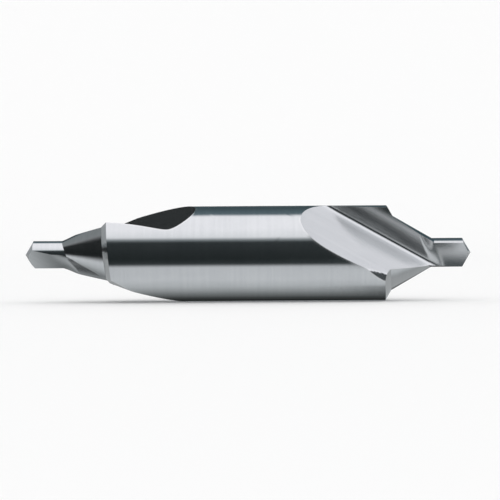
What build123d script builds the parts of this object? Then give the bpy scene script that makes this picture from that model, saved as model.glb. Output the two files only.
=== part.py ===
from build123d import *
from math import cos, radians, sin, sqrt, tan
import os

# Double-ended centre drill, ground from one round bar. The axis lies along X with the
# origin at mid length, +Z up. Both ends are alike: a short pilot drill with its point,
# a countersinking cone, a steeper chamfer that guards the rim of the centre hole, and
# two flutes that run out on the round middle. It cuts when it turns right-handed.

# Overall sizes, mm and degrees
overall_length = 65.5
body_diameter = 14.0
pilot_diameter = 4.25
point_angle = 118.0
cone_start = 5.6
cone_angle = 60.0
cone_large_diameter = 11.1
chamfer_angle = 120.0
end_turn = 112.0

# Relief behind each cutting edge: cone and chamfer are turned about axes of their own,
# set off in one direction, with the cutting edge a little behind that direction
cone_relief = 0.5
chamfer_relief = 1.1
relief_direction = 43.0
relief_lag = 25.0
land_split_angle = 10.0
body_land_middle = 110.0
pilot_land_middle = 68.0

# Flute, ground by a tilted wheel that is fed in from the tip along its own plane
wheel_radius = 62.8
wheel_rim_radius = 0.466
wheel_tilt = 28.4
wheel_direction = 13.7
wheel_stop_length = 12.54
wheel_side_shift = 1.75
root_above_axis = 1.82
feed_slope = 0.118
heel_flank_slope = 0.753
leading_flank_slope = 1.11
leading_flank_depth = 3.0
heel_cut_width = 12.0
leading_cut_width = 7.0
runout_length = 14.5

# Second grinding of the flute, on the pilot
pilot_face_direction = -25.5
pilot_face_twist = 3.0
pilot_half_web = 0.86
pilot_web_rise = 5.2
pilot_face_length = 5.6
pilot_runout_radius = 3.0

# Fineness of the ground surface, and room for the cutters
length_steps = 14
width_steps = 7
clearance = 2.0

half_length = overall_length / 2
body_radius = body_diameter / 2
pilot_radius = pilot_diameter / 2
cone_large_radius = cone_large_diameter / 2
point_length = pilot_radius / tan(radians(point_angle / 2))
cone_end = cone_start + (cone_large_radius - pilot_radius) / tan(radians(cone_angle / 2))
chamfer_start = cone_end - cone_large_radius / tan(radians(chamfer_angle / 2))
land_end = cone_end + (body_radius + 2 * chamfer_relief) / tan(radians(chamfer_angle / 2))


def around(angle):
    # Direction square to the axis, at an angle counted from the front (-Y) up towards +Z.
    return Vector(0, -cos(radians(angle)), sin(radians(angle)))


def facing_plane(angle):
    # Plane along the axis that faces the given direction, with its origin at the tip.
    return Plane(origin=(0, 0, 0), x_dir=(1, 0, 0), z_dir=around(angle))


def side_plane(angle, offset=0):
    # Plane that holds the axis, with its X along it and its Y in the given direction.
    return Plane(
        origin=around(angle) * offset, x_dir=(1, 0, 0), z_dir=-around(angle + 90)
    )


def section_plane(from_tip, angle):
    # Plane across the axis that looks towards the shank, its Y in the given direction.
    return Plane(origin=(-from_tip, 0, 0), x_dir=-around(angle + 90), z_dir=(-1, 0, 0))


def flute_plane(from_tip):
    # Plane across the axis, its Y towards the wheel and its X towards the leading side.
    return Plane(origin=(-from_tip, 0, 0), x_dir=around(wheel_direction + 90), z_dir=(1, 0, 0))


def flank_height(off_plane):
    # How far the wheel's flank stands back from its rim, at a distance off its plane. The
    # leading flank eases off evenly until it is level.
    rounded = sqrt(off_plane**2 + wheel_rim_radius**2) - wheel_rim_radius
    if off_plane <= 0:
        return heel_flank_slope * rounded
    width = 2 * leading_flank_depth / leading_flank_slope
    inside = min(off_plane, width)
    rounded = sqrt(inside**2 + wheel_rim_radius**2) - wheel_rim_radius
    return leading_flank_slope * (rounded - inside**2 / (2 * width))


def flute_floor(from_tip, across):
    # Height of the ground surface over the axis. Past the place where the wheel stops it
    # follows the wheel's round, and nearer the tip the straight line of the feed.
    tilt = radians(wheel_tilt)
    along = from_tip - wheel_stop_length
    side = across - wheel_side_shift
    off_plane = side * cos(tilt) - along * sin(tilt)
    in_plane = along * cos(tilt) + side * sin(tilt)
    reach = wheel_radius - flank_height(off_plane)
    touching = max(in_plane, reach * feed_slope / sqrt(1 + feed_slope**2))
    sunk = sqrt(reach**2 - touching**2) + feed_slope * (touching - in_plane)
    return root_above_axis + wheel_radius - sunk


def flank_points(from_tip, width):
    # Points of a section from the flute's root outwards, closer together near the root.
    root = wheel_side_shift + (from_tip - wheel_stop_length) * tan(radians(wheel_tilt))
    points = []
    for i in range(width_steps + 1):
        across = root + width * (i / width_steps) ** 2
        points.append((across, flute_floor(from_tip, across)))
    return points


def pilot_sections():
    # Distance from the tip and height over the axis, along the pilot's face and run-out.
    slope = tan(radians(pilot_web_rise))
    sections = []
    for i in range(5):
        from_tip = (pilot_face_length + clearance) * i / 4 - clearance
        sections.append((from_tip, pilot_half_web + slope * from_tip))
    for i in range(1, 7):
        turned = radians(15 * i)
        from_tip = pilot_face_length + pilot_runout_radius * sin(turned)
        height = pilot_half_web + slope * from_tip + pilot_runout_radius * (1 - cos(turned))
        sections.append((from_tip, height))
    return sections


# Pilot drill with its point, standing in the cone
with BuildPart() as pilot:
    with BuildSketch(side_plane(pilot_land_middle)):
        with BuildLine():
            Polyline(
                (0, 0),
                (-point_length, pilot_radius),
                (-land_end, pilot_radius),
                (-land_end, 0),
                close=True,
            )
        make_face()
    revolve(axis=Axis.X)

# Relieved cone and chamfer of one land, half way round
with BuildPart() as land:
    for apex, angle, relief in (
        (cone_start - pilot_radius / tan(radians(cone_angle / 2)), cone_angle, cone_relief),
        (chamfer_start, chamfer_angle, chamfer_relief),
    ):
        # The cutting edge keeps its true radius, so the cone is smaller by the offset there.
        shift = relief * cos(radians(relief_lag)) / tan(radians(angle / 2))
        wide = land_end + relief
        relieved_plane = side_plane(relief_direction, relief)
        with BuildSketch(relieved_plane):
            with BuildLine():
                Polyline(
                    (-apex - shift, 0),
                    (-wide, (wide - apex - shift) * tan(radians(angle / 2))),
                    (-wide, 0),
                    close=True,
                )
            make_face()
        revolve(axis=Axis(relieved_plane.origin, (1, 0, 0)))
    with BuildSketch(section_plane(0, relief_direction)):
        Circle(body_radius)
    extrude(amount=land_end, mode=Mode.INTERSECT)
    split(bisect_by=facing_plane(land_split_angle + 90), keep=Keep.TOP)

# What the tilted wheel takes away: sections of both flanks, closed above the bar
with BuildPart() as flute_cutter:
    cutter_top = 3 * body_radius
    cutter_length = wheel_stop_length + runout_length + clearance
    for i in range(length_steps + 1):
        from_tip = cutter_length * i / length_steps - clearance
        heel = flank_points(from_tip, -heel_cut_width)
        leading = flank_points(from_tip, leading_cut_width)
        with BuildSketch(flute_plane(from_tip)):
            with BuildLine():
                Spline(*heel)
                Spline(*leading)
                Polyline(
                    leading[-1],
                    (leading[-1][0], cutter_top),
                    (heel[-1][0], cutter_top),
                    heel[-1],
                )
            make_face()
    loft()

# What the second grinding takes off the pilot: a face that twists and then runs out
with BuildPart() as pilot_cutter:
    cutter_top = 3 * body_radius
    for from_tip, height in pilot_sections():
        turn = pilot_face_direction + pilot_face_twist * from_tip
        with BuildSketch(section_plane(from_tip, turn)):
            with Locations((0, height)):
                Rectangle(body_diameter, cutter_top, align=(Align.CENTER, Align.MIN))
    loft()

# One end of the drill as far as mid length
with BuildPart() as end:
    add(pilot.part)
    add(land.part)
    add(land.part, rotation=(180, 0, 0))
    # The start of the circle stands in the middle of a land, clear of both flutes.
    with BuildSketch(section_plane(land_end, body_land_middle + 90)):
        Circle(body_radius)
    extrude(amount=half_length - land_end)
    for turn in (0, 180):
        add(flute_cutter.part, rotation=(turn, 0, 0), mode=Mode.SUBTRACT)
        add(pilot_cutter.part, rotation=(turn, 0, 0), mode=Mode.SUBTRACT)

# The same end twice, the second turned about the axis
with BuildPart() as centre_drill:
    right_end = Plane(origin=(half_length, 0, 0), x_dir=(1, 0, 0), z_dir=(0, 0, 1))
    left_end = Plane(origin=(-half_length, 0, 0), x_dir=(-1, 0, 0), z_dir=around(90 + end_turn))
    with Locations(right_end, left_end):
        add(end.part)

centre_drill.part.label = "centre_drill"
os.makedirs("parts", exist_ok=True)
export_step(centre_drill.part, "parts/centre_drill.step")
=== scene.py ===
import math

import bpy
import numpy as np
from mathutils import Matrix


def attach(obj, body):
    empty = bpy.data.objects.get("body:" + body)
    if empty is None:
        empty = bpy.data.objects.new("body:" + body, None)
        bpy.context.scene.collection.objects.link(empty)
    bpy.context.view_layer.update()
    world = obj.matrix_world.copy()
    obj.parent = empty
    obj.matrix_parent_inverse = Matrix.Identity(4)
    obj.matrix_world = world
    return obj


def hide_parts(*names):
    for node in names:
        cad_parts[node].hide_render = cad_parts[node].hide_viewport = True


# A double-ended centre drill of bright ground steel. The whole drill is one surface: what
# turning and relief grinding leave of the bar on its lands, and what flute grinding leaves
# between them. Lengths here are in millimetres and angles in degrees until the mesh is made.
# An end's own frame has its tip at 0 and counts from_tip towards the shank, with angles
# counted from the front (-Y) up towards +Z.

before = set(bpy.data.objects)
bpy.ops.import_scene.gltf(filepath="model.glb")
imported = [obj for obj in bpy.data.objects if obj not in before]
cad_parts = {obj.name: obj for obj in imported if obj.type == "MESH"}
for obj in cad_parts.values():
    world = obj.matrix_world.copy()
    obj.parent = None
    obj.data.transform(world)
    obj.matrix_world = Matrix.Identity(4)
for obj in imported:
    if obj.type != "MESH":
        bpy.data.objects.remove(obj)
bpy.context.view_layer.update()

# Sizes of the turned blank and its relief, the same as the source's
overall_length = 65.5
body_radius = 7.0
pilot_radius = 2.125
point_half_angle = 59.0
cone_start = 5.6
cone_half_angle = 30.0
cone_large_radius = 5.55
chamfer_half_angle = 60.0
end_turn = 112.0
cone_relief = 0.5
chamfer_relief = 1.1
relief_direction = 43.0
relief_lag = 25.0
land_split_angle = 10.0

# The wheel that grinds a flute, and its path, the same as the source's
wheel_radius = 62.8
wheel_rim_radius = 0.466
wheel_tilt = 28.4
wheel_direction = 13.7
wheel_stop_length = 12.54
wheel_side_shift = 1.75
root_above_axis = 1.82
feed_slope = 0.118
heel_flank_slope = 0.753
leading_flank_slope = 1.11
leading_flank_depth = 3.0

# The pilot's second grinding, the same as the source's
pilot_face_direction = -25.5
pilot_face_twist = 3.0
pilot_half_web = 0.86
pilot_web_rise = 5.2
pilot_face_length = 5.6
pilot_runout_radius = 3.0

# Small forms that are here only: the facet at the heel's front corner, as the height of a
# plane over one point and its slopes along and across, and the eased edges of the grinding
heel_facet_height = 4.35
heel_facet_place = 12.55
heel_facet_across = -5.41
heel_facet_slopes = (0.32, 0.33)
face_blend = 0.5
facet_blend = 0.2

# Height of a floor where its cutter doesn't reach, well over the bar
clear_height = 50.0

half_length = overall_length / 2
point_length = pilot_radius / math.tan(math.radians(point_half_angle))
cone_slope = math.tan(math.radians(cone_half_angle))
chamfer_slope = math.tan(math.radians(chamfer_half_angle))
cone_end = cone_start + (cone_large_radius - pilot_radius) / cone_slope
cone_apex = cone_start - pilot_radius / cone_slope
chamfer_apex = cone_end - cone_large_radius / chamfer_slope


def relieved_radius(from_tip, angle, apex, slope, relief):
    """Radius of a cone turned about an axis that is set off from the drill's. The cone's own
    radius at a section is its slope times the length from its apex, and a circle whose
    centre stands off by relief reaches relief * cos + sqrt(own^2 - (relief * sin)^2)."""
    shift = relief * math.cos(math.radians(relief_lag)) / slope
    own = np.maximum((from_tip - apex - shift) * slope, 0.0)
    turned = np.radians(angle - relief_direction)
    inside = np.maximum(own**2 - (relief * np.sin(turned)) ** 2, 0.0)
    return np.where(inside > 0, relief * np.cos(turned) + np.sqrt(inside), 0.0)


def relieved_place(radius, angle, apex, slope, relief):
    """Where along the drill such a cone reaches a radius: the same circle solved for its own
    radius, by the cosine rule."""
    shift = relief * math.cos(math.radians(relief_lag)) / slope
    turned = np.radians(angle - relief_direction)
    own = np.sqrt(radius**2 - 2 * radius * relief * np.cos(turned) + relief**2)
    return apex + shift + own / slope


def blank_radius(from_tip, angle):
    """Radius before the flutes are ground: the larger of the pilot and the two cones, and no
    larger than the body. Each land has its own relief, the second one turned by 180."""
    on_land = np.mod(angle - land_split_angle, 180.0) + land_split_angle
    pilot = np.minimum(from_tip * math.tan(math.radians(point_half_angle)), pilot_radius)
    cone = relieved_radius(from_tip, on_land, cone_apex, cone_slope, cone_relief)
    chamfer = relieved_radius(from_tip, on_land, chamfer_apex, chamfer_slope, chamfer_relief)
    return np.maximum(pilot, np.minimum(np.maximum(cone, chamfer), body_radius))


def flank_height(off_plane):
    """How far the wheel's flank stands back from its rounded rim. The leading flank is a
    parabola that eases off until it is level, and the heel flank goes on at its slope."""
    rounded = np.sqrt(off_plane**2 + wheel_rim_radius**2) - wheel_rim_radius
    width = 2 * leading_flank_depth / leading_flank_slope
    inside = np.clip(off_plane, 0.0, width)
    eased = np.sqrt(inside**2 + wheel_rim_radius**2) - wheel_rim_radius
    leading = leading_flank_slope * (eased - inside**2 / (2 * width))
    return np.where(off_plane <= 0, heel_flank_slope * rounded, leading)


def flute_floor(from_tip, across):
    """Height of the ground surface over the axis: a circle of the wheel's radius less its
    flank's height, and nearer the tip the straight line of the feed that touches it."""
    along = from_tip - wheel_stop_length
    tilt = math.radians(wheel_tilt)
    side = across - wheel_side_shift
    off_plane = side * math.cos(tilt) - along * math.sin(tilt)
    in_plane = along * math.cos(tilt) + side * math.sin(tilt)
    reach = wheel_radius - flank_height(off_plane)
    touching = np.maximum(in_plane, reach * feed_slope / math.sqrt(1 + feed_slope**2))
    sunk = np.sqrt(reach**2 - touching**2) + feed_slope * (touching - in_plane)
    return root_above_axis + wheel_radius - sunk


def face_floor(from_tip, across):
    """Height of the pilot's face, a plane that twists evenly and runs out on an arc. The
    face stands square to its own direction, so its height over the wheel's side plane is
    (distance - across * sin) / cos of the angle between the two directions."""
    slope = math.tan(math.radians(pilot_web_rise))
    past = np.clip(from_tip - pilot_face_length, 0.0, pilot_runout_radius)
    lift = pilot_runout_radius - np.sqrt(np.maximum(pilot_runout_radius**2 - past**2, 0.0))
    distance = pilot_half_web + slope * from_tip + lift
    turned = np.radians(
        pilot_face_direction + pilot_face_twist * from_tip - wheel_direction
    )
    reached = from_tip < pilot_face_length + pilot_runout_radius
    height = (distance - across * np.sin(turned)) / np.cos(turned)
    return np.where(reached, height, clear_height)


def facet_floor(from_tip, across):
    """Height of the small facet that takes the heel's corner off the body: a plane."""
    along = heel_facet_slopes[0] * (from_tip - heel_facet_place)
    return heel_facet_height + along + heel_facet_slopes[1] * (across - heel_facet_across)


def dressed(first, second, width):
    """The lower of two surfaces, with the edge between them eased over a width: with h the
    first one's share, from 0 to 1, the height is less by width * h * (1 - h)."""
    share = np.clip(0.5 + (second - first) / (2 * width), 0.0, 1.0)
    return first * share + second * (1 - share) - width * share * (1 - share)


def ground_floor(from_tip, across):
    """What one flute's grinding leaves: the lowest of the wheel's floor, the pilot's face
    and the heel's facet."""
    floor, face = flute_floor(from_tip, across), face_floor(from_tip, across)
    both = dressed(floor, face, face_blend)
    return dressed(both, facet_floor(from_tip, across), facet_blend)


def is_cut(from_tip, angle):
    """Whether the grinding takes the blank's surface away at an angle."""
    turned = np.radians(angle - wheel_direction)
    radius = blank_radius(from_tip, angle)
    return radius * np.cos(turned) > ground_floor(from_tip, radius * np.sin(turned))


# Places along an end where the flute's edges are looked for, closer together on the point
point_zone, point_steps = 2.0, 80
flute_zone, flute_steps = 27.0, 600
edge_along = np.concatenate(
    [
        np.linspace(0.0, point_zone, point_steps + 1)[:-1],
        np.linspace(point_zone, flute_zone, flute_steps + 1),
    ]
)
first_angle, last_angle, angle_steps = -110.0, 125.0, 94
edge_halvings = 20


def flute_edges():
    """Heel and leading angle of the flute: the first and last angle at which the blank's
    surface is cut, each made exact by halving."""
    angles = np.linspace(first_angle, last_angle, angle_steps + 1)
    along, angle = np.meshgrid(edge_along, angles, indexing="ij")
    cut = is_cut(along, angle)
    first = np.argmax(cut, axis=1)
    last = len(angles) - 1 - np.argmax(cut[:, ::-1], axis=1)
    edges = []
    for inner, step in ((first, -1), (last, 1)):
        inside = angles[inner]
        outside = angles[np.clip(inner + step, 0, len(angles) - 1)]
        for _ in range(edge_halvings):
            middle = (inside + outside) / 2
            within = is_cut(edge_along, middle)
            inside = np.where(within, middle, inside)
            outside = np.where(within, outside, middle)
        edges.append(inside)
    return cut.any(axis=1), edges[0], edges[1]


some, heel_angles, leading_angles = flute_edges()
starts, ends = np.flatnonzero(some)[[0, -1]]
flute_start, flute_end = edge_along[starts], edge_along[ends]
start_angle = (heel_angles[starts] + leading_angles[starts]) / 2
end_angle = (heel_angles[ends] + leading_angles[ends]) / 2

# Cells of the mesh round an end: a flute and a land, twice
flute_cells, land_cells = 66, 32
half_cells = flute_cells + land_cells
ring_cells = 2 * half_cells
# Cells along an end: point, pilot, cone, chamfer, the flute on the body, the round middle
band_cells = (7, 26, 52, 16, 112, 34)
flute_band, middle_band = 4, 5
flute_band_even_share = 0.35
middle_band_power = 1.5
# Half of the angle that the flute's edges stay apart where there is no flute
pinch = 0.3
# The left end's angles are the flip angle less the right end's. On the ring that both share
# at mid length, its column c is the right end's column ring_shift - c, which the ring's
# first angle allows for. With this shift the flute's middle columns stay nearly straight.
flip_angle = 180.0 + end_turn
ring_shift = 179
ring_start = (flip_angle - 360.0 * ring_shift / ring_cells) / 2
# Where cone and chamfer may meet: from this far before the cone's end, over this length
shoulder_before, shoulder_room = 2.5, 6.0
shoulder_halvings = 26
# Rounds in which a land's places and angles are made to agree
land_rounds = 40
# Steps in which a flute's row is measured before it is cut into equal lengths
row_steps = 180
# A place this near to the flute's end counts as past it
near_end = 1e-6
# How far the lighter wear reaches from a ground edge, and past the flute's end
wear_width, wear_past_flute = 0.06, 0.2
# Edges where two faces meet at more than this stay sharp
sharp_angle = 18.0


def edge_angles(from_tip):
    """Heel and leading angle of the flute at a place, read from the table. Outside the
    flute's length its two edges stay a hair apart at its end angles."""
    inside = slice(starts, ends + 1)
    heel = np.interp(from_tip, edge_along[inside], heel_angles[inside])
    leading = np.interp(from_tip, edge_along[inside], leading_angles[inside])
    pinched = (from_tip <= flute_start) | (from_tip >= flute_end)
    middle = np.where(from_tip <= flute_start, start_angle, end_angle)
    half = np.maximum(np.where(pinched, 0.0, (leading - heel) / 2), pinch)
    middle = np.where(pinched, middle, (leading + heel) / 2)
    return middle - half, middle + half


def rim_places(angle):
    """Where the turned edges stand at an angle of a land: foot of the cone, cone to chamfer
    (found by halving the place where both cones are equally wide), and chamfer to body."""
    foot = relieved_place(pilot_radius, angle, cone_apex, cone_slope, cone_relief)
    low = np.full(np.shape(angle), cone_end - shoulder_before)
    high = low + shoulder_room
    for _ in range(shoulder_halvings):
        middle = (low + high) / 2
        cone = relieved_radius(middle, angle, cone_apex, cone_slope, cone_relief)
        chamfer = relieved_radius(middle, angle, chamfer_apex, chamfer_slope, chamfer_relief)
        wider = cone > chamfer
        low = np.where(wider, middle, low)
        high = np.where(wider, high, middle)
    front = relieved_place(
        body_radius, angle, chamfer_apex, chamfer_slope, chamfer_relief
    )
    return foot, (low + high) / 2, front


def row_bands():
    """Which band each row is in, and its share of the way through it. The flute's band
    closes up towards the flute's end by a sine, and the one past it opens by a power."""
    bands, shares = [], []
    for band, cells in enumerate(band_cells):
        share = np.arange(cells) / cells
        if band == flute_band:
            eased = np.sin(share * math.pi / 2)
            share = flute_band_even_share * share + (1 - flute_band_even_share) * eased
        if band == middle_band:
            share = share**middle_band_power
        bands.append(np.full(cells, band))
        shares.append(share)
    bands.append([len(band_cells) - 1])
    shares.append([1.0])
    return np.concatenate(bands), np.concatenate(shares)


def land_grid():
    """Places and angles of one land's columns. The rows' bands start and end on the turned
    edges. A column's angle depends on its place and the place on the angle, so the two are
    worked out in turn until they agree."""
    band, row_share = row_bands()
    rows = np.arange(len(band))
    share = np.linspace(0.0, 1.0, land_cells + 1)[None, :]
    angle = np.full((len(band), land_cells + 1), 90.0)
    ones = np.ones_like(angle)
    for _ in range(land_rounds):
        foot, shoulder, front = rim_places(angle)
        stops = np.stack(
            [
                0 * ones,
                point_length * ones,
                foot,
                shoulder,
                front,
                flute_end * ones,
                half_length * ones,
            ]
        )
        low, high = stops[band, rows], stops[band + 1, rows]
        from_tip = low + row_share[:, None] * (high - low)
        heel, leading = edge_angles(from_tip)
        aim = leading + (heel + 180.0 - leading) * share
        angle = (angle + 2 * aim) / 3
    return from_tip, angle


def flute_grid(land_tip):
    """Places of one flute's columns, with their distance across and their height in the
    wheel's own side plane. Each row runs from the heel to the leading edge in steps of
    equal length along the ground surface."""
    heel_tip, leading_tip = land_tip[:, -1:], land_tip[:, :1]
    ends = []
    for tip, edge in ((heel_tip, 0), (leading_tip, 1)):
        angle = edge_angles(tip)[edge]
        radius = blank_radius(tip, angle)
        turned = np.radians(angle - wheel_direction)
        ends.append((radius * np.sin(turned), radius * np.cos(turned)))
    (heel_across, heel_height), (leading_across, leading_height) = ends

    def surface(share):
        from_tip = heel_tip * (1 - share) + leading_tip * share
        across = heel_across * (1 - share) + leading_across * share
        height = ground_floor(from_tip, across)
        height = np.where(share == 0.0, heel_height, height)
        return from_tip, across, np.where(share == 1.0, leading_height, height)

    fine = np.linspace(0.0, 1.0, row_steps + 1)[None, :] * np.ones_like(heel_tip)
    steps = [np.diff(values, axis=1) for values in surface(fine)]
    length = np.cumsum(np.sqrt(sum(step**2 for step in steps)), axis=1)
    wanted = np.linspace(0.0, 1.0, flute_cells + 1)
    share = np.empty((len(fine), flute_cells + 1))
    for row, run in enumerate(length):
        share[row] = np.interp(wanted * run[-1], np.concatenate([[0.0], run]), fine[row])
    share[:, 0], share[:, -1] = 0.0, 1.0
    return surface(share)


def end_grid():
    """Places of one whole end's points along the drill, across it and over it, in the
    wheel's own side plane: flute, land, flute, land. In the round middle the columns spread
    evenly, so that both ends meet on one ring."""
    land_tip, land_angle = land_grid()
    share = np.linspace(0.0, 1.0, flute_cells + 1)[None, :]
    flute_tip, flute_across, flute_height = flute_grid(land_tip)
    # Where there is no flute, its columns stay on the blank, a hair apart.
    even_tip = land_tip[:, -1:] * (1 - share) + land_tip[:, :1] * share
    heel, leading = edge_angles(even_tip)
    flute_angle = heel + (leading - heel) * share
    bare = (land_tip[:, :1] <= flute_start) | (land_tip[:, -1:] >= flute_end - near_end)
    flute_tip = np.where(bare, even_tip, flute_tip)
    from_tip = np.concatenate([flute_tip[:, :-1], land_tip[:, :-1]], axis=1)
    angle = np.concatenate([flute_angle[:, :-1], land_angle[:, :-1]], axis=1)
    from_tip = np.concatenate([from_tip, from_tip], axis=1)
    angle = np.concatenate([angle, angle + 180.0], axis=1)
    part = np.clip((from_tip - flute_end) / (half_length - flute_end), 0.0, 1.0)
    spread = part * part * (3 - 2 * part)
    even = ring_start + 360.0 * np.arange(ring_cells) / ring_cells
    angle = angle * (1 - spread) + even[None, :] * spread
    radius = blank_radius(from_tip, angle)
    turned = np.radians(angle - wheel_direction)
    across, height = radius * np.sin(turned), radius * np.cos(turned)
    ground = np.zeros_like(across)
    for half, sign in ((0, 1.0), (half_cells, -1.0)):
        columns = slice(half, half + flute_cells)
        across[:, columns] = np.where(bare, across[:, columns], sign * flute_across[:, :-1])
        height[:, columns] = np.where(bare, height[:, columns], sign * flute_height[:, :-1])
        ground[:, half + 1 : half + flute_cells] = np.where(bare, 0.0, 1.0)
    # Wear: 1 on its own row's edges, and exp(-(distance / width) ** 2) beside them
    edge = np.zeros_like(across)
    for column in (0, flute_cells, half_cells, half_cells + flute_cells):
        apart = np.hypot(
            across - across[:, column : column + 1], height - height[:, column : column + 1]
        )
        edge = np.maximum(edge, np.exp(-((apart / wear_width) ** 2)))
    edge = np.where(from_tip < flute_end + wear_past_flute, edge, 0.0)
    return from_tip, across, height, ground, edge


def wheel_marks(from_tip, across):
    """Place of each point on the wheel's surface: how far along the wheel's plane, and how
    far off it. Marks left by the wheel run along its plane."""
    tilt = math.radians(wheel_tilt)
    side = across - wheel_side_shift
    along = from_tip - wheel_stop_length
    off_plane = side * math.cos(tilt) - along * math.sin(tilt)
    in_plane = along * math.cos(tilt) + side * math.sin(tilt)
    return in_plane, off_plane


def whole_drill():
    """Both ends on one closed mesh. Across and height are turned into the drill's frame by
    the wheel's direction, and the left end is the right one turned over."""
    from_tip, across, height, ground, edge = end_grid()
    halves = np.where(np.arange(ring_cells) < half_cells, 1.0, -1.0)[None, :]
    in_plane, off_plane = wheel_marks(from_tip, across * halves)
    rows = from_tip.shape[0]

    def points(side):
        # The left end is turned over: its angles are the flip angle less the right end's.
        facing = wheel_direction if side > 0 else flip_angle - wheel_direction
        toward, beside = math.radians(facing), math.radians(facing + 90.0)
        x = side * (half_length - from_tip)
        y = -height * math.cos(toward) - side * across * math.cos(beside)
        z = height * math.sin(toward) + side * across * math.sin(beside)
        return np.stack([x, y, z], axis=2)

    values = np.stack([ground, edge, in_plane, off_plane], axis=2)
    right = points(1.0)[1:]
    left = points(-1.0)[1:-1]
    places = np.concatenate(
        [right.reshape(-1, 3), left.reshape(-1, 3), [[half_length, 0, 0], [-half_length, 0, 0]]]
    )
    values = np.concatenate(
        [values[1:].reshape(-1, 4), values[1:-1].reshape(-1, 4), np.zeros((2, 4))]
    )
    columns = np.arange(ring_cells)
    right_index = np.arange((rows - 1) * ring_cells).reshape(rows - 1, ring_cells)
    left_index = (rows - 1) * ring_cells + np.arange((rows - 2) * ring_cells)
    left_index = left_index.reshape(rows - 2, ring_cells)
    # The left end's ring at mid length is the right end's, counted the other way.
    shared = right_index[-1][np.mod(ring_shift - columns, ring_cells)]
    left_index = np.concatenate([left_index, shared[None, :]])
    faces, tips = [], []
    for index, pole in ((right_index, len(places) - 2), (left_index, len(places) - 1)):
        after = np.roll(index, -1, axis=1)
        quads = np.stack([index[:-1], index[1:], after[1:], after[:-1]], axis=2)
        faces.append(quads.reshape(-1, 4))
        tips.append(np.stack([np.full(ring_cells, pole), index[0], after[0]], axis=1))
    return places, values, np.concatenate(faces), np.concatenate(tips)


def make_piece(name, places, quads, triangles):
    """A mesh from arrays, faces outward: where the signed volume comes out below nothing,
    every face is turned round."""
    corners = places[triangles]
    volume = np.einsum("ij,ij->", corners[:, 0], np.cross(corners[:, 1], corners[:, 2]))
    for a, b, c in ((0, 1, 2), (0, 2, 3)):
        one, two, three = places[quads[:, a]], places[quads[:, b]], places[quads[:, c]]
        volume += np.einsum("ij,ij->", one, np.cross(two, three))
    if volume < 0:
        quads, triangles = quads[:, ::-1], triangles[:, ::-1]
    mesh = bpy.data.meshes.new(name)
    loops = np.concatenate([quads.ravel(), triangles.ravel()])
    sizes = np.concatenate([np.full(len(quads), 4), np.full(len(triangles), 3)])
    mesh.vertices.add(len(places))
    mesh.vertices.foreach_set("co", (places / 1000).astype(np.float32).ravel())
    mesh.loops.add(len(loops))
    mesh.loops.foreach_set("vertex_index", loops.astype(np.int32))
    mesh.polygons.add(len(sizes))
    mesh.polygons.foreach_set("loop_start", (np.cumsum(sizes) - sizes).astype(np.int32))
    mesh.update(calc_edges=True)
    mesh.validate()
    mesh.shade_smooth()
    mesh.set_sharp_from_angle(angle=math.radians(sharp_angle))
    piece = bpy.data.objects.new(name, mesh)
    bpy.context.collection.objects.link(piece)
    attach(piece, "root")
    return piece


def store(piece, name, values):
    """Keeps one number for each point of a piece, for its material."""
    layer = piece.data.attributes.new(name, "FLOAT", "POINT")
    layer.data.foreach_set("value", values.astype(np.float32))


def tone(red, green, blue):
    """A colour as seen, 0 to 255, made linear: ((c + 0.055) / 1.055) ** 2.4."""
    seen = np.array([red, green, blue]) / 255
    linear = np.where(seen > 0.04045, ((seen + 0.055) / 1.055) ** 2.4, seen / 12.92)
    return (*linear, 1.0)


class Nodes:
    """A node tree with short calls for making nodes and joining their sockets."""

    def __init__(self, tree):
        self.tree = tree

    def add(self, kind, **values):
        """A node of a kind, with its settings."""
        node = self.tree.nodes.new(kind)
        for key, value in values.items():
            setattr(node, key, value)
        return node

    def join(self, source, target):
        """A link from an output to an input."""
        self.tree.links.new(source, target)

    def math(self, operation, first, second=None, third=None):
        """A math node on up to three values, each a number or a socket."""
        node = self.add("ShaderNodeMath", operation=operation)
        for socket, value in zip(node.inputs, (first, second, third)):
            if isinstance(value, (int, float)):
                socket.default_value = value
            elif value is not None:
                self.join(value, socket)
        return node.outputs[0]

    def noise(self, vector, scale, detail=2.0, roughness=0.5):
        """Soft noise of a scale, from 0 to 1."""
        node = self.add("ShaderNodeTexNoise")
        node.inputs["Scale"].default_value = scale
        node.inputs["Detail"].default_value = detail
        node.inputs["Roughness"].default_value = roughness
        self.join(vector, node.inputs["Vector"])
        return node.outputs["Fac"]

    def stretched(self, vector, amounts):
        """A vector with each part multiplied by its own amount."""
        node = self.add("ShaderNodeVectorMath", operation="MULTIPLY")
        node.inputs[1].default_value = amounts
        self.join(vector, node.inputs[0])
        return node.outputs[0]

    def between(self, value, steps):
        """1 between the middle two of four steps, falling smoothly to 0 at the outer two."""
        sides = []
        for low, high in ((steps[0], steps[1]), (steps[3], steps[2])):
            node = self.add("ShaderNodeMapRange", interpolation_type="SMOOTHSTEP")
            node.inputs["From Min"].default_value = low
            node.inputs["From Max"].default_value = high
            self.join(value, node.inputs["Value"])
            sides.append(node.outputs["Result"])
        return self.math("MULTIPLY", *sides)

    def mix(self, share, first, second):
        """The first colour where share is 0, and the second where it is 1."""
        node = self.add("ShaderNodeMix", data_type="RGBA")
        # Inputs 0, 6 and 7 of this node are its factor and its two colours.
        for place, value in ((0, share), (6, first), (7, second)):
            socket = node.inputs[place]
            if isinstance(value, (int, float, tuple)):
                socket.default_value = value
            else:
                self.join(value, socket)
        return node.outputs[2]

    def ramp(self, value, stops):
        """Colours by a value, through stops that each have a position and a colour."""
        node = self.add("ShaderNodeValToRGB")
        elements = node.color_ramp.elements
        while len(elements) < len(stops):
            elements.new(0.5)
        for element, (position, colour) in zip(elements, stops):
            element.position = position
            element.color = colour
        self.join(value, node.inputs[0])
        return node.outputs[0]


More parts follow.
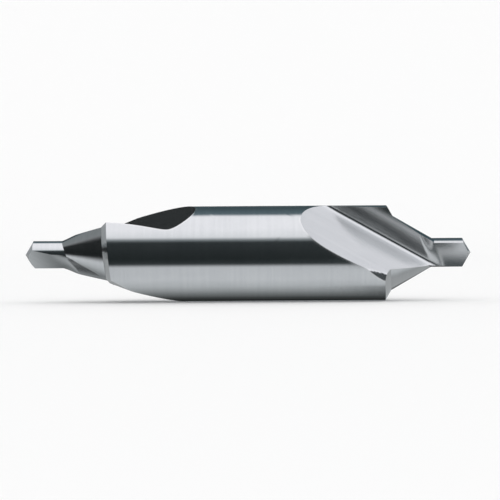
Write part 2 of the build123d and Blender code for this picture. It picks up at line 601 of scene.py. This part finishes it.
# How much finer and broader the second and third pattern of the lines are than the first
fine_scale, broad_scale = 4.3, 0.31


def grinding_lines():
    """Fine lines left by a wheel, as a group: noises on a vector that is packed closely
    across the lines and loosely along them. Their height has a coarse and a fine part, and
    their shade a broad one too."""
    group = bpy.data.node_groups.new("grinding_lines", "ShaderNodeTree")
    group.interface.new_socket("Place", in_out="INPUT", socket_type="NodeSocketVector")
    group.interface.new_socket("Height", in_out="OUTPUT", socket_type="NodeSocketFloat")
    group.interface.new_socket("Shade", in_out="OUTPUT", socket_type="NodeSocketFloat")
    nodes = Nodes(group)
    inside = nodes.add("NodeGroupInput")
    outside = nodes.add("NodeGroupOutput")
    coarse = nodes.noise(inside.outputs[0], 1.0, 3.0, 0.6)
    fine = nodes.noise(inside.outputs[0], fine_scale, 2.0, 0.7)
    height = nodes.math("MULTIPLY_ADD", fine, 0.5, nodes.math("MULTIPLY", coarse, 0.5))
    nodes.join(height, outside.inputs[0])
    broad = nodes.noise(inside.outputs[0], broad_scale, 1.0)
    lines = nodes.math("MULTIPLY", height, 0.6)
    nodes.join(nodes.math("MULTIPLY_ADD", broad, 0.4, lines), outside.inputs[1])
    return group


# How closely each pattern of the steel is packed: along the drill and across it in a metre,
# and along the wheel's plane and off it in a millimetre
rings_packed = (5200.0, 90.0, 90.0)
clouds_packed = (180.0, 420.0, 420.0)
specks_packed = 330.0
marks_along, marks_off = 0.07, 4.2
# A speck's radius as a share of its cell, and the share of cells that have none
speck_size, speckless = 0.035, 0.9
# How strongly the lines show on turned steel, how much more in the flutes, and the clouds
line_contrast, mark_contrast, cloud_contrast = 0.16, 0.10, 0.10
# Colours of the steel from its darker lines to its lighter ones, and the lightness at which
# the plain and the light one are reached
dull_steel = (0.52, 0.54, 0.55, 1)
plain_steel = (0.66, 0.675, 0.68, 1)
light_steel = (0.76, 0.77, 0.77, 1)
plain_at, light_at = 0.15, 0.3
worn_steel = (0.9, 0.9, 0.89, 1)
speck_colour = (0.2, 0.19, 0.18, 1)
worn_share, speck_share = 0.35, 0.6
# Roughness of the steel, and what light lines, the flutes and worn edges add to it
plain_rough, light_rough, flute_rough, worn_rough = 0.10, 0.16, 0.06, 0.15
# Strength of the lines' relief, and its depth in metres
relief_strength, relief_depth = 0.25, 0.00002


def ground_steel(lines):
    """Bright ground tool steel: rings round the turned surfaces, slanting wheel marks in the
    flutes, worn cutting edges, faint clouding and a few small specks."""
    material = bpy.data.materials.new("ground_steel")
    material.use_nodes = True
    material.node_tree.nodes.clear()
    nodes = Nodes(material.node_tree)
    place = nodes.add("ShaderNodeTexCoord").outputs["Object"]

    def kept(name):
        return nodes.add("ShaderNodeAttribute", attribute_name=name).outputs["Fac"]

    ground, edge = kept("ground"), kept("edge")
    rings = nodes.add("ShaderNodeGroup", node_tree=lines)
    nodes.join(nodes.stretched(place, rings_packed), rings.inputs[0])
    marks = nodes.add("ShaderNodeGroup", node_tree=lines)
    on_wheel = nodes.add("ShaderNodeCombineXYZ")
    nodes.join(nodes.math("MULTIPLY", kept("in_plane"), marks_along), on_wheel.inputs[0])
    nodes.join(nodes.math("MULTIPLY", kept("off_plane"), marks_off), on_wheel.inputs[1])
    nodes.join(on_wheel.outputs[0], marks.inputs[0])
    height = nodes.mix(ground, rings.outputs[0], marks.outputs[0])
    shade = nodes.mix(ground, rings.outputs[1], marks.outputs[1])
    clouds = nodes.noise(nodes.stretched(place, clouds_packed), 1.0, 3.0)
    specks = nodes.add("ShaderNodeTexVoronoi", feature="F1")
    specks.inputs["Scale"].default_value = specks_packed
    nodes.join(place, specks.inputs["Vector"])
    rare = nodes.add("ShaderNodeSeparateColor")
    nodes.join(specks.outputs["Color"], rare.inputs[0])
    near = nodes.math("LESS_THAN", specks.outputs["Distance"], speck_size)
    speck = nodes.math("MULTIPLY", near, nodes.math("GREATER_THAN", rare.outputs[0], speckless))

    contrast = nodes.math("MULTIPLY_ADD", ground, mark_contrast, line_contrast)
    cloudy = nodes.math("MULTIPLY", clouds, cloud_contrast)
    lit = nodes.math("MULTIPLY_ADD", shade, contrast, cloudy)
    steels = ((0.0, dull_steel), (plain_at, plain_steel), (light_at, light_steel))
    colour = nodes.ramp(lit, steels)
    colour = nodes.mix(nodes.math("MULTIPLY", edge, worn_share), colour, worn_steel)
    colour = nodes.mix(nodes.math("MULTIPLY", speck, speck_share), colour, speck_colour)
    rough = nodes.math("MULTIPLY_ADD", lit, light_rough, plain_rough)
    rough = nodes.math("MULTIPLY_ADD", ground, flute_rough, rough)
    rough = nodes.math("MULTIPLY_ADD", edge, worn_rough, rough)
    bump = nodes.add("ShaderNodeBump")
    bump.inputs["Strength"].default_value = relief_strength
    bump.inputs["Distance"].default_value = relief_depth
    nodes.join(height, bump.inputs["Height"])
    steel = nodes.add("ShaderNodeBsdfPrincipled")
    steel.inputs["Metallic"].default_value = 1.0
    nodes.join(colour, steel.inputs["Base Color"])
    nodes.join(rough, steel.inputs["Roughness"])
    nodes.join(bump.outputs[0], steel.inputs["Normal"])
    out = nodes.add("ShaderNodeOutputMaterial")
    nodes.join(steel.outputs[0], out.inputs[0])
    return material


places, values, quads, triangles = whole_drill()
drill = make_piece("drill_surface", places, quads, triangles)
for name, kept_values in zip(("ground", "edge", "in_plane", "off_plane"), values.T):
    store(drill, name, kept_values)
drill.data.materials.append(ground_steel(grinding_lines()))
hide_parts("centre_drill")


# The floor, in metres: half its width (its near edge is as far), its far edge, where it
# starts to curve, how strongly, and how far under the drill it lies
floor_half_width, floor_back = 1.6, 3.0
floor_columns, floor_rows = 17, 93
floor_foot, floor_bend = 1.2, 0.5
floor_gap = 0.00002
floor_white = (0.93, 0.93, 0.93, 1)


def pale_floor():
    """A level floor under the drill that curves up far behind it: past the foot of the
    curve it rises by bend * (y - foot) ** 2. It isn't seen in the steel, which shows the
    studio."""
    across = np.linspace(-floor_half_width, floor_half_width, floor_columns)
    back = np.linspace(-floor_half_width, floor_back, floor_rows)
    x, y = np.meshgrid(across, back, indexing="ij")
    rise = np.where(y > floor_foot, floor_bend * (y - floor_foot) ** 2, 0.0)
    z = rise - body_radius / 1000 - floor_gap
    points = np.stack([x, y, z], axis=2).reshape(-1, 3)
    index = np.arange(len(points)).reshape(x.shape)
    quads = np.stack([index[:-1, :-1], index[1:, :-1], index[1:, 1:], index[:-1, 1:]], axis=2)
    mesh = bpy.data.meshes.new("floor")
    mesh.from_pydata(points.tolist(), [], quads.reshape(-1, 4).tolist())
    mesh.shade_smooth()
    floor = bpy.data.objects.new("floor", mesh)
    bpy.context.collection.objects.link(floor)
    material = bpy.data.materials.new("floor_paint")
    material.use_nodes = True
    paint = material.node_tree.nodes["Principled BSDF"]
    paint.inputs["Base Color"].default_value = floor_white
    paint.inputs["Roughness"].default_value = 0.9
    paint.inputs["Specular IOR Level"].default_value = 0.1
    mesh.materials.append(material)
    floor.visible_glossy = False


# What the camera and the floor see all round, and how much stronger the steel's light is
plain_white = (1.06, 1.06, 1.06, 1)
shine_gain = 0.45


def studio():
    """Light from all round by its height about the drill's axis: a dark front, a broad soft
    box overhead and a grey table, with cards hung at the sides. The camera itself and the
    floor see plain white. Shades are given as they look, and tone makes them linear."""
    world = bpy.data.worlds.new("studio")
    world.use_nodes = True
    world.node_tree.nodes.clear()
    bpy.context.scene.world = world
    nodes = Nodes(world.node_tree)
    toward = nodes.add("ShaderNodeSeparateXYZ")
    nodes.join(nodes.add("ShaderNodeTexCoord").outputs["Generated"], toward.inputs[0])
    front = nodes.math("MULTIPLY", toward.outputs[1], -1.0)
    turned = nodes.math("ARCTAN2", toward.outputs[2], front)
    turned = nodes.math("MULTIPLY", turned, 180.0 / math.pi)
    # Each stop of the light round the drill: its height in degrees, from the front (0) up
    # over the top (90) to the back (180), or down to the back (-180), and its shade
    bands = (
        (-180, (212, 214, 216)),
        (-171, (150, 154, 156)),
        (-164, (24, 26, 26)),
        (-154, (26, 28, 28)),
        (-134, (58, 60, 60)),
        (-112, (114, 117, 118)),
        (-86, (170, 173, 175)),
        (-64, (188, 190, 193)),
        (-32, (184, 186, 189)),
        (-25, (46, 51, 52)),
        (-12, (30, 35, 36)),
        (28, (34, 40, 42)),
        (34, (120, 126, 129)),
        (40, (218, 219, 222)),
        (62, (232, 231, 235)),
        (101, (232, 231, 235)),
        (110, (84, 99, 106)),
        (140, (56, 70, 75)),
        (165, (60, 72, 76)),
        (180, (212, 214, 216)),
    )
    stops = [((angle + 180) / 360, tone(*colour)) for angle, colour in bands]
    share = nodes.math("MULTIPLY_ADD", turned, 1 / 360, 0.5)
    light = nodes.ramp(share, stops)
    # Each card: a name after the place that shows it or where it hangs, how far to the side
    # it starts, is full, is still full and ends (from -1 at the left to 1 at the right), the
    # same for its height in degrees, and its shade. A later card hangs in front of an
    # earlier one.
    cards = (
        ("left_cone", (-1.2, -1.1, -0.80, -0.55), (-64, -30, 56, 128), (24, 27, 28)),
        ("left_flute", (-0.60, -0.50, -0.20, -0.10), (124, 136, 158, 170), (26, 29, 30)),
        ("left_cone_top", (-1.2, -1.1, -0.66, -0.50), (70, 88, 118, 138), (118, 122, 124)),
        ("leading_wall", (-0.60, -0.45, -0.25, -0.165), (-80, -62, -42, -14), (26, 30, 32)),
        ("left_underside", (-1.2, -1.1, -0.30, -0.16), (-200, -190, -132, -112), (148, 150, 151)),
        ("left_back", (-1.2, -1.1, -0.55, -0.40), (150, 160, 190, 200), (140, 143, 145)),
        ("heel_wall", (0.15, 0.36, 1.1, 1.2), (-24, -6, 104, 118), (210, 210, 215)),
        ("right_side", (0.24, 0.34, 1.1, 1.2), (12, 22, 60, 78), (224, 224, 229)),
        ("pilot_face", (0.215, 0.245, 0.31, 0.38), (-40, -32, -14, -4), (182, 184, 186)),
        ("pilot_runout", (0.11, 0.14, 0.20, 0.235), (-42, -34, -14, -4), (70, 75, 77)),
        ("pilot_face_foot", (0.24, 0.42, 0.60, 0.75), (-66, -50, -30, -17), (56, 62, 64)),
        ("heel_facet", (0.48, 0.56, 0.80, 0.90), (-38, -30, 4, 14), (40, 46, 48)),
        ("right_underside", (0.25, 0.42, 1.1, 1.2), (-200, -190, -116, -86), (150, 152, 153)),
        ("under_left_cone", (0.085, 0.12, 0.24, 0.34), (-135, -120, -92, -80), (18, 20, 21)),
    )
    for name, sides, heights, shade in cards:
        beside = nodes.between(toward.outputs[0], sides)
        share = nodes.math("MULTIPLY", beside, nodes.between(turned, heights))
        light = nodes.mix(share, light, tone(*shade))
        light.node.label = name
    path = nodes.add("ShaderNodeLightPath")
    seen = nodes.mix(path.outputs["Is Glossy Ray"], plain_white, light)
    strength = nodes.math("MULTIPLY_ADD", path.outputs["Is Glossy Ray"], shine_gain, 1.0)
    shine = nodes.add("ShaderNodeBackground")
    nodes.join(seen, shine.inputs[0])
    nodes.join(strength, shine.inputs[1])
    out = nodes.add("ShaderNodeOutputWorld")
    nodes.join(shine.outputs[0], out.inputs[0])


# The camera, fitted to the two tips and the body's edges in the photo: its lens in
# millimetres, its place in metres and its roll in degrees
lens_length = 100.5
eye_place = (0.00029, -0.2055, 0.00052)
eye_roll = -0.36


def camera():
    """A long lens level with the drill, rolled a little, so the right end stands higher."""
    lens = bpy.data.cameras.new("camera")
    lens.sensor_width = 36.0
    lens.lens = lens_length
    lens.clip_start = 0.01
    lens.clip_end = 20.0
    eye = bpy.data.objects.new("camera", lens)
    eye.location = eye_place
    eye.rotation_euler = (math.radians(90), 0.0, 0.0)
    eye.rotation_euler.rotate_axis("Z", math.radians(eye_roll))
    bpy.context.collection.objects.link(eye)
    bpy.context.scene.camera = eye


pale_floor()
studio()
camera()
bpy.context.scene.view_settings.view_transform = "Standard"
